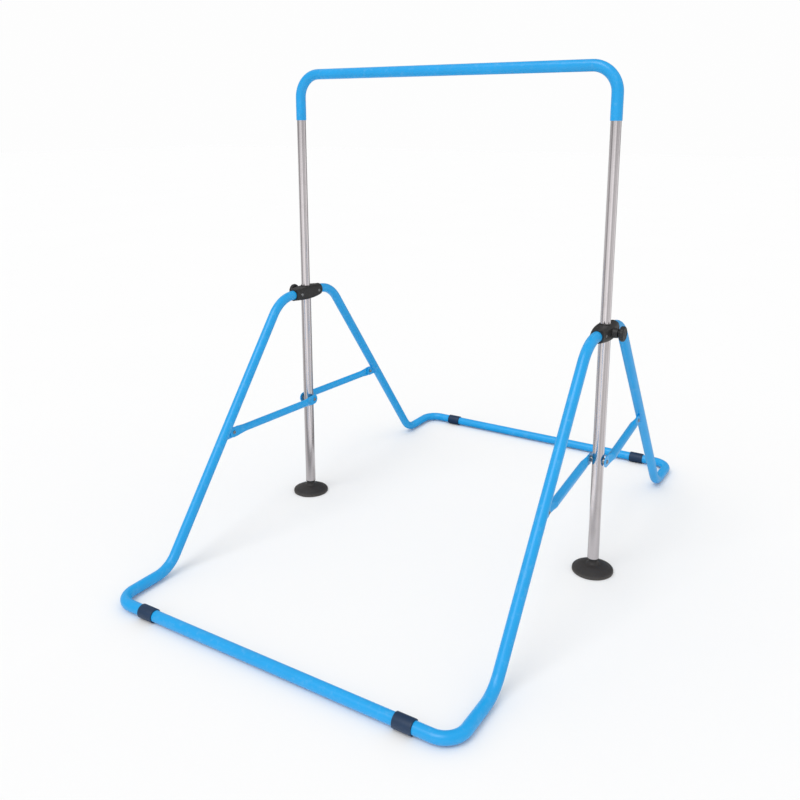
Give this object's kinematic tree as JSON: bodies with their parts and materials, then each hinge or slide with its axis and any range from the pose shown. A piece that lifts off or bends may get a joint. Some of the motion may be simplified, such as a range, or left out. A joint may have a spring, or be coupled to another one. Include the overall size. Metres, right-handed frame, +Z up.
{
  "type": "kip bar",
  "caption": "Free-standing kip bar: a bent grip bar on telescoping uprights, moulded clamp blocks with knobs, braced front and rear floor frames, flared rubber feet.",
  "frame": {"origin": "on the floor, midway between the two uprights", "axes": "+X along the grip bar to the right, -Y to the front, +Z up"},
  "size_m": [1.226, 1.849, 1.5318],
  "materials": {
    "blue_tube": "gloss powder coat",
    "chrome_tube": "polished plating",
    "block_nylon": "moulded, fine texture",
    "knob_nylon": "moulded, fine texture",
    "guide_nylon": "moulded, smooth",
    "foot_rubber": "moulded, matt",
    "sleeve_rubber": "moulded, matt",
    "zinc_fastener": "zinc plated",
    "insert_brass": "machined"
  },
  "bodies": {
    "stand": {"front_floor_tube": "blue_tube", "rear_floor_tube": "blue_tube", "brace_tabs": "blue_tube", "front_left_leg": "blue_tube", "front_right_leg": "blue_tube", "rear_left_leg": "blue_tube", "rear_right_leg": "blue_tube", "left_front_brace": "blue_tube", "right_front_brace": "blue_tube", "left_rear_brace": "blue_tube", "right_rear_brace": "blue_tube", "left_outer_upright": "chrome_tube", "left_block_outer_half": "block_nylon", "left_block_inner_half": "block_nylon", "left_guide_bush": "guide_nylon", "left_foot_plug": "guide_nylon", "left_foot": "foot_rubber", "left_threaded_insert": "insert_brass", "front_left_sleeve": "sleeve_rubber", "rear_left_sleeve": "sleeve_rubber", "right_outer_upright": "chrome_tube", "right_block_outer_half": "block_nylon", "right_block_inner_half": "block_nylon", "right_guide_bush": "guide_nylon", "right_foot_plug": "guide_nylon", "right_foot": "foot_rubber", "right_threaded_insert": "insert_brass", "front_right_sleeve": "sleeve_rubber", "rear_right_sleeve": "sleeve_rubber", "weld_bosses": "chrome_tube", "foot_screws": "zinc_fastener", "block_bolts": "zinc_fastener", "block_nuts": "zinc_fastener", "brace_tab_bolts": "zinc_fastener", "brace_tab_nuts": "zinc_fastener", "brace_upright_bolts": "zinc_fastener"},
    "bar": {"top_bar": "blue_tube", "left_inner_upright": "chrome_tube", "right_inner_upright": "chrome_tube", "left_guide_plug": "guide_nylon", "right_guide_plug": "guide_nylon", "bar_screws": "zinc_fastener"},
    "left_pad": {"left_pressure_pad": "insert_brass"},
    "left_clamp_knob": {"left_knob": "knob_nylon", "left_clamp_stud": "zinc_fastener"},
    "right_pad": {"right_pressure_pad": "insert_brass"},
    "right_clamp_knob": {"right_knob": "knob_nylon", "right_clamp_stud": "zinc_fastener"}
  },
  "joints": [
    {"name": "bar_height", "type": "slide", "parent": "stand", "child": "bar", "axis": [0, 0, 1], "range_m": [-0.56, 0]},
    {"name": "left_pad_slide", "type": "slide", "parent": "stand", "child": "left_pad", "axis": [-1, 0, 0], "range_m": [0, 0.003]},
    {"name": "left_knob_turn", "type": "hinge", "parent": "left_pad", "child": "left_clamp_knob", "pos_m": [-0.55, 0, 0.765], "axis": [-1, 0, 0], "range_deg": [0, 720]},
    {"name": "right_pad_slide", "type": "slide", "parent": "stand", "child": "right_pad", "axis": [1, 0, 0], "range_m": [0, 0.003]},
    {"name": "right_knob_turn", "type": "hinge", "parent": "right_pad", "child": "right_clamp_knob", "pos_m": [0.55, 0, 0.765], "axis": [1, 0, 0], "range_deg": [0, 720]}
  ],
  "couplings": [
    {"joint": "left_pad_slide", "follows": "left_knob_turn", "m_per_rad": 0.00023873},
    {"joint": "right_pad_slide", "follows": "right_knob_turn", "m_per_rad": 0.00023873}
  ]
}
